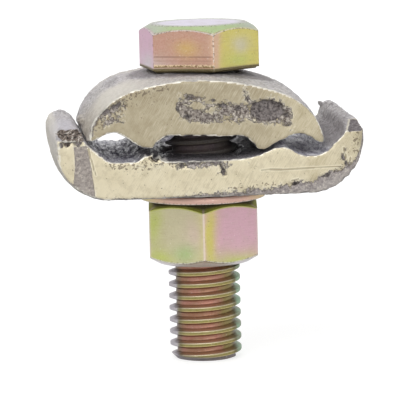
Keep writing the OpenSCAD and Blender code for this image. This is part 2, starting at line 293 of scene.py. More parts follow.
def remeshed(node, lumps):
    """Evenly meshed copy of a CAD node, with small balls (x, y, z, radius) fused on."""
    bm = bmesh.new()
    bm.from_mesh(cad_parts[node].data)
    for x, y, z, r in lumps:
        place = Matrix.Translation((x * MM, y * MM, z * MM))
        bmesh.ops.create_icosphere(bm, subdivisions=2, radius=r * MM, matrix=place)
    rough = bpy.data.meshes.new(node + "_rough")
    bm.to_mesh(rough)
    bm.free()
    holder = linked(node + "_rough", rough)
    remesh = holder.modifiers.new("even", "REMESH")
    remesh.mode = "VOXEL"
    remesh.voxel_size = VOXEL * MM
    depsgraph = bpy.context.evaluated_depsgraph_get()
    mesh = bpy.data.meshes.new_from_object(holder.evaluated_get(depsgraph))
    bpy.data.objects.remove(holder)
    bpy.data.meshes.remove(rough)
    return mesh


def full_ends(p):
    """Where the upper jaw's points move: tips lower, right end longer, right tooth's outer corner higher."""
    x, y, z = p.T
    low = ramp(np.abs(x), 12.3, 14.8) * ramp(-z, -33.5, -31.0)
    along = 0.42 * ramp(x, 9.5, 14.8) - 0.14 * ramp(-x, 12.5, 15.5)
    corner = ramp(x, 6.9, 7.9) * ramp(-x, -10.4, -8.8) * ramp(-z, -30.8, -29.6)
    return np.column_stack([along, 0 * y, 0.27 * corner - 0.32 * low])


def broad_ridge(p):
    """Where the lower jaw's points move: its right ridge is higher on both sides of its top."""
    x, y, z = p.T
    left_shoulder = 0.22 * ramp(x, 5.8, 7.4) * ramp(-x, -9.0, -8.2)
    right_shoulder = 0.14 * ramp(x, 9.3, 9.9) * ramp(-x, -11.2, -10.2)
    return np.column_stack([0 * x, 0 * y, (left_shoulder + right_shoulder) * ramp(z, 28.0, 28.3)])


def sawn_share(p, n):
    """1 on the two sawn faces, 0 on the cast skin. The lower jaw's right end is sawn up to its corner."""
    x, y, _ = p.T
    sharp_end = 0.5 * ramp(x, 18.2, 18.8)
    facing = ramp(np.abs(n[:, 1]) + sharp_end, 0.55, 0.85)
    return facing * ramp(np.abs(y) + 0.6 * sharp_end, HALF_DEPTH - 0.45, HALF_DEPTH - 0.25)


def relief(p, sawn, found, crumbs, chip):
    """How far each point of a jaw stands out from the plain form, in millimetres."""
    cast = 1 - sawn
    torn = 0.25 * layered(p, 0.9, 3, 5)
    lumpy, gritty = layered(p, 1.6, 3, 21), layered(p, 0.6, 2, 33)
    near_face = ramp(np.abs(p[:, 1]), HALF_DEPTH - 1.2, HALF_DEPTH - 0.3)
    nicks = near_face * ramp(layered(p, 0.8, 2, 61), 0.05, 0.5)
    out = cast * (0.1 * lumpy + 0.11 * gritty - 0.35 * nicks)
    out -= sawn * ramp(found["skin"] + torn, -0.05, 0.15) * (0.07 + 0.07 * gritty)
    out -= sawn * ramp(found["pit"] + torn, -0.05, 0.3) * (0.35 + 0.25 * gritty + 0.3 * lumpy)
    out -= crumbs * (0.25 + 0.9 * layered(p, 0.8, 3, 44))
    return out - ramp(chip, 0, 0.3) * (0.2 + 0.3 * gritty)


def rim_share(p, n):
    """1 along the sawn faces' edges, where a highlight is painted: less underneath, at the wings and to the
    right.
    """
    x, y, z = p.T
    lean = np.abs(n[:, 1])
    edge = ramp(lean, 0.12, 0.4) * (1 - ramp(lean, 0.86, 0.98))
    edge *= ramp(np.abs(y), HALF_DEPTH - 0.6, HALF_DEPTH - 0.4)
    strength = 0.75 + 0.25 * ramp(n[:, 2], 0.1, 0.4)
    strength *= (1 - 0.6 * ramp(-x, 17.0, 17.8)) * (1 - 0.8 * ramp(x, 17.9, 18.5))
    strength *= 1 - 0.5 * ramp(x, 7, 10) * ramp(z, 31.5, 33)
    strength *= 1 - 0.55 * ramp(x, 4, 7) * ramp(-z, -31.5, -31)
    return edge * strength


def casting(name, node, jaw, brass):
    """A cast jaw: rough skin, sawn front and rear faces with the marks that the saw and grinder left.

    jaw holds the functions for its marks, its wounds, its changed shape and its look, and its lumps.
    """
    mesh = remeshed(node, jaw["lumps"])
    p, n = vertex_arrays(mesh)
    x, y, z = p.T
    sawn = sawn_share(p, n)
    found = jaw["marks"](x, z, y < 0)
    crumbs, chip = jaw["wounds"](p, n)
    moved = p + jaw["reshape"](p) + n * relief(p, sawn, found, crumbs, chip)[:, None]
    moved = np.clip(moved, *(np.array(v) / MM for v in CAD_BOX))
    mesh.vertices.foreach_set("co", (moved * MM).astype(np.float32).ravel())
    mesh.polygons.foreach_set("use_smooth", np.ones(len(mesh.polygons), bool))
    on_face = sawn > 0.5
    values = {
        "skin": np.clip(found["skin"] * sawn + 1.5 * (1 - sawn), -2, 2),
        "pit": np.clip(np.where(on_face, found["pit"], -2), -2, 2),
        "fleck": np.where(on_face, ramp(found["fleck"], -0.3, 0.4), 0),
        "torn": found["torn"],
        "line": np.where(on_face, np.maximum(found["line"], -1), -1),
        "crumbs": crumbs,
        "chip": np.clip(chip, -2, 2),
        "rim": rim_share(p, n),
        "sawn": sawn,
    }
    for key, value in {**values, **jaw["look"](p, n, sawn)}.items():
        attribute(mesh, key, value)
    mesh.update()
    mesh.materials.clear()
    mesh.materials.append(brass)
    return new_piece(name, mesh, node, node)


def spot(p, place, radii):
    """Soft spot: 1 at its middle, 0 well outside."""
    return np.exp(-sum(((a - b) / r) ** 2 for a, b, r in zip(p.T, place, radii)))


def behind_face(y):
    """0 on the sawn faces and 1 behind them."""
    return ramp(-np.abs(y), FRONT + 0.1, FRONT + 0.5)


def upper_look(p, n, sawn):
    """Shares that steer the upper jaw's colours.

    tone: creamy above 0, dark below; on top-facing skin it is partly painted light, round the bolt it is
    painted shadow of the head, and on the sawn faces it lays painted light and painted shade. warm and cool:
    tints of
    the skin. inner: 1 in the grooves and the bolt slot. hollow_shade: painted shade in parts of those.
    ground:
    strength of the grinding scratches. grime: painted shadow under the head and dirt beside the slot.
    """
    x, y, z = p.T
    off_axis = np.hypot(x, y)
    # Cream patch on the dome, and top-facing skin made paler: painted light
    cream = 1.4 * spot(p, (-12, -9, 35.5), (3.5, 5, 2.2)) + 0.5 * ramp(n[:, 2], 0.5, 0.9)
    # Painted shadow of the head round the bolt, and darker patches on the dome
    dark = 1.6 * ramp(-off_axis, -10.5, -8.5) + 0.6 * spot(p, (9, 2, 37), (6, 12, 3))
    dark += 1.1 * spot(p, (-11.2, 2, 37.0), (2.2, 5, 0.9))
    # On the sawn face: painted shade, deeper towards the top and lighter to the right
    face = -0.75 - 0.25 * ramp(z - 0.012 * x * x, 34.2, 37.4) + 0.35 * ramp(x, 5, 12)
    under = ramp(-n[:, 2], 0.0, 0.4) * behind_face(y)
    slot_lump = spot(p, (-5.4, -11.3, 30.9), (1.5, 1.6, 1.0))
    # Painted shadow of the bolt head on the dome round its seat
    shadow_under_head = 0.9 * ramp(-off_axis, -8.9, -7.4) * ramp(z, 37.2, 37.7) * ramp(-np.abs(x), -5.5, -2.5)
    beside_slot = 0.6 * spot(p, (-7.0, -10.8, 29.9), (1.0, 2.2, 0.8)) * (sawn < 0.5)
    return {
        "tone": np.where(sawn > 0.5, face, cream - dark),
        "warm": spot(p, (-16, -8, 32.5), (3, 9, 3)),
        "cool": 0 * x,
        "inner": under * ramp(-np.abs(x), -14.8, -14),
        # Painted shade in the bolt slot, except on its lump
        "hollow_shade": ramp(-np.abs(x), -8.6, -7.0) * (1 - slot_lump),
        "ground": 0.2 + 0.7 * ramp(x, -12, -7),
        "grime": shadow_under_head + beside_slot,
    }


def lower_look(p, n, sawn):
    """The same shares for the lower jaw."""
    x, y, _ = p.T
    left = spot(p, (-19.5, 0, 31.5), (2.5, 14, 3))
    right = spot(p, (17.0, -4, 30.5), (2.2, 14, 2.4))
    # Left-facing skin at the left end made paler: painted light
    outer = 0.9 * ramp(-n[:, 0], 0.2, 0.7) * ramp(-x, 12, 16)
    trough = ramp(-np.abs(x), -16.0, -14.6) * ramp(n[:, 2], 0.0, 0.3)
    hole = ramp(-np.hypot(x, y), -6.0, -5.7)
    # Painted shade on the slot's floor and in the grooves' front mouths
    slot_floor = ramp(x, -10.0, -8.8) * ramp(-x, -9.4, -8.4)
    groove_mouth = 0.35 * ramp(-y, 9.5, 11.5) * ramp(-x, -11, -9)
    return {
        # On the sawn face the tone is painted light at the left, turning to painted shade at the right
        "tone": np.where(sawn > 0.5, 0.75 - 1.0 * ramp(x, 8, 18), outer - 0.1 * left - 1.2 * right),
        "warm": sawn,
        "cool": spot(p, (-18, -6, 32.2), (2.6, 9, 1.6)),
        "inner": np.maximum(trough, hole) * behind_face(y),
        "hollow_shade": np.maximum(slot_floor, groove_mouth),
        "ground": 0.25 + 0.75 * ramp(x, -13, -7),
        "grime": 0.75 * spot(p, (-6.9, -10.8, 28.5), (1.5, 2.2, 0.9)) * (sawn < 0.5),
    }


def no_wounds(p, n):
    """No crumbs and no chip anywhere."""
    return np.zeros(len(p)), np.full(len(p), -2.0)


def wing_wounds(p, n):
    """Crumbs on the left wing's broken top and beside the slot, and depth inside the right wing's chip."""
    x, y, z = p.T
    broken = np.minimum.reduce([x + 19.6, -16.0 - x, -7.2 - y, (z - 30.75) * 1.5])
    below = ellipses(x, z, [(-18.6, 30.6, 0.8, 0.6, -20)]) - ramp(y, FRONT + 0.5, FRONT + 1.5)
    beside_slot = ellipses(x, z, [(-7.0, 28.5, 1.5, 0.7, 10)]) - ramp(y, FRONT + 1.0, FRONT + 2.0)
    depth = np.maximum.reduce([broken, below, beside_slot])
    crumbs = ramp(depth + 0.6 * layered(p, 1.3, 3, 52), 0.0, 0.5)
    inner_edge = x - 17.75 - 0.22 * (y - FRONT)
    chip = np.minimum.reduce([inner_edge, -7.6 - y, (z - 30.95) * 2, (n[:, 2] - 0.3) * 2])
    return crumbs, chip


UPPER_JAW = {
    "marks": upper_marks, "wounds": no_wounds, "reshape": full_ends,
    "look": upper_look, "lumps": UPPER_LUMPS,
}
LOWER_JAW = {
    "marks": lower_marks, "wounds": wing_wounds, "reshape": broad_ridge,
    "look": lower_look, "lumps": WING_LUMPS,
}


def polar(radius, angle):
    return radius * np.array([math.cos(angle), math.sin(angle)])


def hex_outline(turn, corner_r, flat_steps=24, corner_steps=5):
    """Points round a hexagon with rounded corners, in millimetres."""
    arc = math.radians(30)
    centre_r = (HEX_FLATS / 2 - corner_r) / math.cos(arc)
    corners = [math.radians(turn + 60 * k) for k in range(7)]
    points = []
    for here, after in zip(corners, corners[1:]):
        for t in np.linspace(-arc, arc, corner_steps):
            points.append(polar(centre_r, here) + polar(corner_r, here + t))
        start, end = points[-1], polar(centre_r, after) + polar(corner_r, after - arc)
        points.extend(start + (end - start) * i / flat_steps for i in range(1, flat_steps))
    return np.array(points)


def chamfer_drop(radius, flat_r):
    """How far the chamfer cone has come in at each radius. Without a flat there is no chamfer."""
    return np.zeros(len(radius)) if flat_r is None else np.maximum(radius - flat_r, 0) * CHAMFER


def ring(points, z):
    return np.column_stack([points, np.broadcast_to(z, len(points))])


def hex_rings(outline, low, high, low_flat_r, high_flat_r, rows):
    """Rings of points up the outside of a chamfered hexagon, from the flat below to the flat above."""
    radius = np.hypot(*outline.T)
    direction = outline / radius[:, None]
    bottom = low + chamfer_drop(radius, low_flat_r)
    top = high - chamfer_drop(radius, high_flat_r)
    rings = []
    if low_flat_r is not None:
        for t in np.linspace(0, 1, 4)[:-1]:
            r = low_flat_r + (radius - low_flat_r) * t
            rings.append(ring(direction * r[:, None], low + (bottom - low) * t))
    rings += [ring(outline, bottom + (top - bottom) * t) for t in np.linspace(0, 1, rows)]
    for t in np.linspace(0, 1, 5)[1:]:
        r = radius + (high_flat_r - radius) * t
        rings.append(ring(direction * r[:, None], top + (high - top) * t))
    return rings


def mesh_of(name, verts, faces):
    mesh = bpy.data.meshes.new(name)
    mesh.from_pydata((np.asarray(verts) * MM).tolist(), [], faces)
    mesh.polygons.foreach_set("use_smooth", np.ones(len(mesh.polygons), bool))
    mesh.update()
    mesh.set_sharp_from_angle(angle=math.radians(SHARP))
    return mesh


def strips(rings, closed):
    """Vertices and faces through rings of equally many points. An open stack is capped at both ends."""
    rings = np.asarray(rings)
    m, n, _ = rings.shape
    faces = []
    for j in range(m if closed else m - 1):
        for i in range(n):
            k, t = (i + 1) % n, ((j + 1) % m) * n
            faces.append((j * n + i, j * n + k, t + k, t + i))
    if not closed:
        faces.append(tuple(range(n))[::-1])
        faces.append(tuple((m - 1) * n + i for i in range(n)))
    return rings.reshape(-1, 3), faces


# Section of the thread over one pitch, from a crest's middle: shares of the pitch and of the depth
THREAD_PHASE = np.array([
    0, 0.06, 0.1, 0.135, 0.17, 0.21, 0.31, 0.345, 0.39, 0.5, 0.61, 0.655, 0.69, 0.79, 0.83, 0.865, 0.9, 0.94])
THREAD_DEPTH = np.array([
    0, 0, 0.0, 0.03, 0.17, 0.36, 0.84, 0.96, 1, 1, 1, 0.96, 0.84, 0.36, 0.17, 0.03, 0, 0])


def thread_phase(angle, z):
    """Place in the thread's profile, from 0 on one crest to 1 on the next."""
    return ((z - CREST_Z) / PITCH - angle / (2 * math.pi)) % 1


def thread_radius(angle, z):
    phase = thread_phase(angle, z)
    depth = np.interp(phase, np.append(THREAD_PHASE, 1), np.append(THREAD_DEPTH, 0))
    return MAJOR_R - depth * (MAJOR_R - MINOR_R)


def thread_mesh(low, high, columns=80):
    """Vertices and faces of the threaded shank, in rows that follow the helix."""
    rows = len(THREAD_PHASE)
    turns = range(-3, math.ceil(high / PITCH) + 2)
    steps = np.concatenate([k + THREAD_PHASE for k in turns])
    angle = 2 * math.pi * np.arange(columns) / columns
    z = np.clip(CREST_Z + PITCH * (steps[:, None] + angle[None, :] / (2 * math.pi)), low, high)
    around = np.broadcast_to(angle, z.shape)
    r = np.minimum(thread_radius(around, z), MAJOR_R - END_CHAMFER + z - low)
    verts = np.stack([r * np.cos(around), r * np.sin(around), z], -1).reshape(-1, 3)
    faces = []
    for j in range(len(steps) - 1 - rows):
        for i in range(columns):
            k = j * columns + i
            wrap = (i + 1) % columns + (rows * columns if i == columns - 1 else 0)
            faces.append((k, j * columns + wrap, (j + 1) * columns + wrap, k + columns))
    return verts, faces


def welded(mesh, gap=1e-4):
    """Joins vertices that coincide and closes the open ends."""
    bm = bmesh.new()
    bm.from_mesh(mesh)
    bmesh.ops.remove_doubles(bm, verts=bm.verts, dist=gap * MM)
    bmesh.ops.dissolve_degenerate(bm, edges=bm.edges, dist=gap * MM)
    loose = [v for v in bm.verts if not v.link_faces]
    bmesh.ops.delete(bm, geom=loose, context="VERTS")
    open_edges = [e for e in bm.edges if e.is_boundary]
    bmesh.ops.holes_fill(bm, edges=open_edges, sides=0)
    bmesh.ops.recalc_face_normals(bm, faces=bm.faces)
    bm.to_mesh(mesh)
    bm.free()


def join(parts):
    """One list of vertices and faces out of several."""
    verts, faces, count = [], [], 0
    for v, f in parts:
        verts.append(np.asarray(v))
        faces.extend(tuple(i + count for i in face) for face in f)
        count += len(v)
    return np.concatenate(verts), faces


# Colours of the plating, laid on as soft spots

def facet(turn, side, across, z):
    """A point on a hexagon's flat: side counts the flats, across runs along the flat."""
    a = math.radians(turn + 30 + 60 * side)
    return (
        HEX_FLATS / 2 * math.cos(a) - across * math.sin(a),
        HEX_FLATS / 2 * math.sin(a) + across * math.cos(a),
        z,
    )


def plated(points, base, spots, seed):
    """Colour at each point: its base, then (place, radii, tint, strength) spots mixed over it."""
    p = points + 0.45 * np.column_stack([noise(points, 2.2, seed + k) for k in range(3)])
    return over(base, [
        (tint, np.clip(strength * spot(p, place, radii), 0, 1)) for place, radii, tint, strength in spots])


def over(colour, layers):
    """Tints mixed over colours in turn, each (tint, share for each point)."""
    for tint, share in layers:
        colour = colour * (1 - share[:, None]) + linear(tint) * share[:, None]
    return colour


def paint(mesh, colour, wear_and_highlight, rise=None, grime=None):
    """Writes the plating's colour, edges of wear and painted highlight, height above the seat and painted
    shade.
    """
    full = np.column_stack([colour, np.ones(len(colour))])
    layer = mesh.attributes.new("tint", "FLOAT_COLOR", "POINT")
    layer.data.foreach_set("color", full.astype(np.float32).ravel())
    attribute(mesh, "wear_and_highlight", wear_and_highlight)
    attribute(mesh, "rise", np.full(len(colour), UNSCORED) if rise is None else rise)
    attribute(mesh, "grime", np.zeros(len(colour)) if grime is None else grime)


def bearing(points, turn):
    """Angle of each point about the bolt from a hexagon's corner, in degrees."""
    return np.degrees(np.arctan2(points[:, 1], points[:, 0])) - turn


def facet_number(points, turn):
    """Which flat of a hexagon each point lies on, from 0 to 5."""
    return np.floor(bearing(points, turn) / 60).astype(int) % 6


def hex_edges(points, turn, half_width=0.16):
    """1 along the upright edges of a hexagon."""
    off = np.abs((bearing(points, turn) + 30) % 60 - 30)
    radius = np.hypot(points[:, 0], points[:, 1])
    return ramp(-np.radians(off) * radius, -half_width, -half_width * 0.5) * ramp(radius, 7.3, 7.7)


def hex_share(points, turn, flat_r):
    """Place across a hexagon's chamfer: 0 at the round flat, 1 at the hexagon's edge."""
    edge = HEX_FLATS / 2 / np.cos(np.radians(bearing(points, turn) % 60 - 30))
    return (np.hypot(points[:, 0], points[:, 1]) - flat_r) / (edge - flat_r)


def bell(value, middle, half_width):
    return np.clip(1 - np.abs(value - middle) / half_width, 0, 1)


# Scored lines on the head's middle flat: height above the seat, half width and strength
SCORES = [(2.08, 0.08, 0.65), (1.56, 0.05, 0.4)]
SCORED_FLAT = 3
BURR_Z = 0.92          # height of the torn edge above the seat
UNSCORED = 9.0         # height given to points off that flat


# Materials

class Shade:
    """The node tree of a material or of the world, with short calls for the nodes it uses."""

    def __init__(self, owner, output="OutputMaterial"):
        self.owner = owner
        owner.use_nodes = True
        self.tree = owner.node_tree
        self.tree.nodes.clear()
        self.out = self.tree.nodes.new("ShaderNode" + output)

    def node(self, kind, inputs=None, **settings):
        made = self.tree.nodes.new("ShaderNode" + kind)
        for key, value in settings.items():
            setattr(made, key, value)
        for key, value in (inputs or {}).items():
            self.put(value, made.inputs[key])
        return made

    def put(self, value, socket):
        if isinstance(value, bpy.types.NodeSocket):
            self.tree.links.new(value, socket)
        else:
            socket.default_value = value

    def math(self, kind, a, b=0.0):
        return self.node("Math", {0: a, 1: b}, operation=kind).outputs[0]

    def times(self, a, b):
        return self.math("MULTIPLY", a, b)

    def plus(self, a, b):
        return self.math("ADD", a, b)

    def minus(self, a, b):
        return self.math("SUBTRACT", a, b)

    def most(self, a, b):
        return self.math("MAXIMUM", a, b)

    def step(self, value, low, high):
        """0 at low, 1 at high and smooth between."""
        inputs = {"Value": value, "From Min": low, "From Max": high}
        return self.node("MapRange", inputs, interpolation_type="SMOOTHSTEP").outputs["Result"]

    def mix(self, share, a, b):
        made = self.node("Mix", data_type="RGBA", clamp_factor=True)
        self.put(share, made.inputs["Factor"])
        self.put(a, made.inputs[6])
        self.put(b, made.inputs[7])
        return made.outputs[2]

    def blend(self, share, a, b):
        """One plain colour turning into another."""
        return self.mix(share, rgba(a), rgba(b))

    def lay(self, colour, tint, share, amount=None):
        """A plain tint laid over a colour, by a share and an amount of it."""
        return self.mix(share if amount is None else self.times(share, amount), colour, rgba(tint))

    def layers(self, colour, palette, layers):
        """Tints of a palette laid over a colour in turn, each (name, share, amount)."""
        for name, share, amount in layers:
            colour = self.lay(colour, palette[name], share, amount)
        return colour

    def attribute(self, name, output="Fac"):
        return self.node("Attribute", attribute_name=name).outputs[output]

    def place(self):
        """The point in millimetres."""
        made = self.node("VectorMath", operation="SCALE")
        self.put(self.node("TexCoord").outputs["Object"], made.inputs[0])
        made.inputs["Scale"].default_value = 1000
        return made.outputs[0]

    def noise(self, place, scale, detail=3.0, rough=0.55):
        inputs = {"Vector": place, "Scale": scale, "Detail": detail, "Roughness": rough}
        return self.node("TexNoise", inputs).outputs["Fac"]

    def stretched(self, place, turn, stretch):
        """The point turned about Y and stretched, for scratches along one direction."""
        inputs = {"Vector": place, "Angle": math.radians(turn)}
        turned = self.node("VectorRotate", inputs, rotation_type="Y_AXIS")
        made = self.node("VectorMath", {0: turned.outputs[0], 1: stretch}, operation="MULTIPLY")
        return made.outputs[0]

    def bump(self, height, distance, strength=1.0):
        made = self.node("Bump", {"Height": height, "Distance": distance * MM, "Strength": strength})
        return made.outputs["Normal"]

    def surface(self, shader):
        self.tree.links.new(shader, self.out.inputs["Surface"])
        return self.owner


def material(name):
    return Shade(bpy.data.materials.new(name))


# Colours of the castings
CAST = {
    "pit": (80, 73, 72), "pit_grain": (164, 155, 151), "pit_lump": (150, 142, 140),
    "crumb_dark": (40, 31, 26), "crumb": (128, 114, 103), "crumb_pale": (222, 216, 208),
    "chip_rim": (222, 214, 196), "chip_dark": (84, 78, 80), "chip": (140, 132, 134),
    "groove": (160, 157, 170), "groove_highlight": (252, 251, 255), "groove_speck": (84, 80, 88),
    "hollow_shade": (112, 107, 110), "rim": (246, 242, 230), "grime": (38, 35, 36),
}
GROUND = {
    "plain": (186, 174, 142), "pale": (208, 198, 170), "shaded": (148, 136, 112), "lit": (226, 216, 188),
    "pale_mottle": (226, 215, 186), "dark_mottle": (160, 146, 116), "bright_scratch": (226, 218, 194),
    "dim_scratch": (150, 136, 104), "score": (136, 122, 92), "patch_edge_light_and_shade": (236, 229, 210),
    "fleck": (104, 90, 74), "line_edge": (238, 231, 208), "line": (124, 107, 72),
}
SKIN = {
    "dark_grain": (144, 139, 140), "pale_grain": (214, 210, 212), "lump": (196, 191, 188),
    "cloud": (160, 152, 144), "cream": (226, 220, 208), "dark": (124, 118, 120), "warm": (180, 169, 148),
    "cool": (202, 198, 206),
}
POROUS = {
    "dark_grain": (96, 85, 80), "pale_grain": (196, 186, 176), "lump": (172, 161, 150),
    "cloud": (122, 112, 108), "mauve": (204, 196, 196), "crumb": (232, 224, 208), "deep": (206, 199, 194),
    "strip": (190, 177, 161), "patch_edge_light_and_shade": (96, 84, 74),
}


def cast_brass(name):
    """Grey cast skin, pale sawn brass with its marks, painted highlight streaks, edge highlights, dirt and
    shade.
    """
    s = material(name)
    at = s.place()
    torn = s.minus(s.noise(at, 1.0, 6, 0.72), 0.5)
    grit = s.noise(at, 2.6, 5, 0.72)
    lump = s.noise(at, 1.2, 3, 0.6)
    broad = s.noise(at, 0.4, 3, 0.55)
    streaks = s.noise(s.stretched(at, 0, (2.2, 0.5, 2.2)), 1.0, 5, 0.75)
    inner = s.attribute("inner")
    wander = s.plus(torn, s.times(s.minus(grit, 0.5), 0.9))
    skin_depth = s.plus(s.attribute("skin"), s.times(wander, s.attribute("torn")))
    skin = s.step(skin_depth, -0.05, 0.05)
    pit = s.step(s.plus(s.attribute("pit"), s.times(torn, 0.9)), -0.05, 0.12)
    crumbs = s.step(s.plus(s.attribute("crumbs"), s.times(torn, 0.8)), 0.3, 0.5)

    metal = ground_brass(s, at, broad, skin_depth)
    colour = s.mix(skin, metal, cast_skin(s, grit, lump, broad, skin_depth))
    colour = s.mix(pit, colour, pit_colour(s, grit, lump))
    colour = s.mix(crumbs, colour, crumb_colour(s, at))
    colour = chipped(s, colour, torn, grit)
    colour = s.mix(inner, colour, groove_colour(s, grit, streaks))
    # Painted highlight along the sawn faces' edges, weaker in the grooves
    rim = s.step(s.plus(s.attribute("rim"), s.times(torn, 1.2)), 0.24, 0.45)
    colour = s.lay(colour, CAST["rim"], s.times(rim, s.minus(0.85, s.times(inner, 0.6))))
    # Near-black laid over: painted shadow under the head, and dirt beside the bolt slot
    colour = s.lay(colour, CAST["grime"], s.attribute("grime"))

    dull = s.most(s.most(skin, pit), s.most(inner, crumbs))
    sheen = s.times(s.times(inner, s.step(streaks, 0.4, 0.56)), 0.46)
    height = s.times(s.plus(grit, s.times(lump, 1.5)), dull)
    height = s.times(height, s.minus(1.0, s.times(inner, 0.75)))
    height = s.minus(height, s.times(s.plus(skin, pit), 0.8))
    shader = s.node("BsdfPrincipled", {
        "Base Color": colour,
        "Metallic": s.times(s.minus(1.0, dull), 0.4),
        "Roughness": s.minus(s.plus(0.42, s.times(dull, 0.25)), sheen),
        "Normal": s.bump(height, 0.24, 1.0),
    })
    return s.surface(shader.outputs["BSDF"])


def pit_colour(s, grit, lump):
    colour = s.blend(s.step(grit, 0.38, 0.62), CAST["pit"], CAST["pit_grain"])
    return s.lay(colour, CAST["pit_lump"], s.step(lump, 0.52, 0.66), 0.6)


def crumb_colour(s, at):
    crumb = s.noise(at, 1.7, 5, 0.68)
    colour = s.blend(s.step(crumb, 0.42, 0.52), CAST["crumb_dark"], CAST["crumb"])
    return s.lay(colour, CAST["crumb_pale"], s.step(crumb, 0.55, 0.62))


def chipped(s, colour, torn, grit):
    """The chip's pale edging and its dark floor over a colour."""
    depth = s.plus(s.attribute("chip"), s.times(torn, 0.35))
    colour = s.lay(colour, CAST["chip_rim"], s.step(depth, -0.3, -0.1), 0.8)
    floor = s.blend(s.step(grit, 0.35, 0.65), CAST["chip_dark"], CAST["chip"])
    return s.mix(s.step(depth, 0.0, 0.12), colour, floor)


def groove_colour(s, grit, streaks):
    """Painted highlight streaks along the grooves, with dark specks, and painted shade in the slot and groove
    mouths.
    """
    # Painted highlight streaks along the grooves
    colour = s.blend(s.step(streaks, 0.42, 0.58), CAST["groove"], CAST["groove_highlight"])
    colour = s.lay(colour, CAST["groove_speck"], s.step(grit, 0.58, 0.66))
    return s.lay(colour, CAST["hollow_shade"], s.attribute("hollow_shade"), 0.85)


def ground_brass(s, at, broad, skin_depth):
    """Sawn and ground metal, with slanting scratches, flecks, thin lines and painted highlights round the
    skin.
    """
    ground, tone, line = s.attribute("ground"), s.attribute("tone"), s.attribute("line")
    scratches = s.noise(s.stretched(at, -32, (14.0, 2.0, 0.6)), 1.0, 3, 0.6)
    scores = s.step(s.noise(s.stretched(at, -28, (20.0, 2.0, 0.4)), 1.0, 1, 0.5), 0.62, 0.74)
    mottled = s.step(s.noise(at, 0.9, 6, 0.7), 0.36, 0.64)
    patch_edge_light_and_shade = s.times(s.step(skin_depth, -0.3, -0.05), s.step(broad, 0.4, 0.6))
    fleck = s.plus(s.noise(at, 3.4, 2, 0.5), s.times(s.attribute("fleck"), 0.19))
    colour = s.blend(s.step(broad, 0.3, 0.7), GROUND["plain"], GROUND["pale"])
    return s.layers(colour, GROUND, (
        ("shaded", s.step(s.times(tone, -1.0), 0.0, 1.0), 0.85),
        ("lit", s.step(tone, 0.0, 1.0), 0.6),
        ("pale_mottle", mottled, 0.16),
        ("dark_mottle", s.step(mottled, 0.5, 0.1), 0.2),
        ("bright_scratch", s.step(scratches, 0.45, 0.7), s.times(ground, 0.42)),
        ("dim_scratch", s.step(scratches, 0.5, 0.3), s.times(ground, 0.36)),
        ("score", scores, s.times(ground, 0.4)),
        # Painted highlight round the skin patches
        ("patch_edge_light_and_shade", patch_edge_light_and_shade, 0.7),
        ("fleck", s.step(fleck, 0.70, 0.75), 0.75),
        ("line_edge", s.step(line, -0.2, -0.08), 0.45),
        ("line", s.step(line, -0.08, 0.03), 0.62),
    ))


def cast_skin(s, grit, lump, broad, skin_depth):
    """Rough skin: grey outside, creamier or darker by its tone, which is partly painted light and painted
    shade, and brown and porous on the sawn faces, with a painted shadow just inside its edges.
    """
    tone, warm, ragged = s.attribute("tone"), s.attribute("warm"), s.attribute("torn")
    grey = s.blend(s.step(grit, 0.4, 0.6), SKIN["dark_grain"], SKIN["pale_grain"])
    grey = s.layers(grey, SKIN, (
        ("lump", s.step(lump, 0.45, 0.65), 0.6),
        ("cloud", s.step(broad, 0.55, 0.7), 0.4),
        ("cream", s.step(tone, 0.0, 1.0), 0.8),
        ("dark", s.step(s.times(tone, -1.0), 0.0, 1.0), 0.75),
        ("warm", warm, 0.7),
        ("cool", s.attribute("cool"), 0.7),
    ))
    porous = s.blend(s.step(grit, 0.42, 0.58), POROUS["dark_grain"], POROUS["pale_grain"])
    porous = s.layers(porous, POROUS, (
        ("lump", s.step(lump, 0.5, 0.64), 0.7),
        ("cloud", s.step(broad, 0.52, 0.62), 0.4),
        ("mauve", warm, 0.42),
        ("crumb", s.step(grit, 0.57, 0.64), 0.85),
        ("deep", s.step(skin_depth, 0.7, 1.3), 0.4),
        ("strip", s.step(ragged, 1.2, 0.6), 0.28),
        # Painted shadow just inside the skin patches' edges
        ("patch_edge_light_and_shade", s.step(skin_depth, 0.25, 0.05), s.step(ragged, 0.2, 3.5)),
    ))
    return s.mix(s.attribute("sawn"), grey, porous)


# Colours of the plating's grain, its edges of wear and painted highlight, and its scores
PLATING = {
    "glint": (255, 250, 235), "cloud": (168, 158, 120), "brushed": (150, 120, 100), "speck": (110, 92, 74),
    "pale_speck": (240, 236, 228), "worn_and_highlight": (222, 219, 212), "dot": (96, 84, 70), "score": (104, 74, 62),
    "burr": (228, 206, 168), "torn": (122, 100, 60),
}
PLATING_SPECULAR = (0.62, 0.6, 0.66, 1.0)


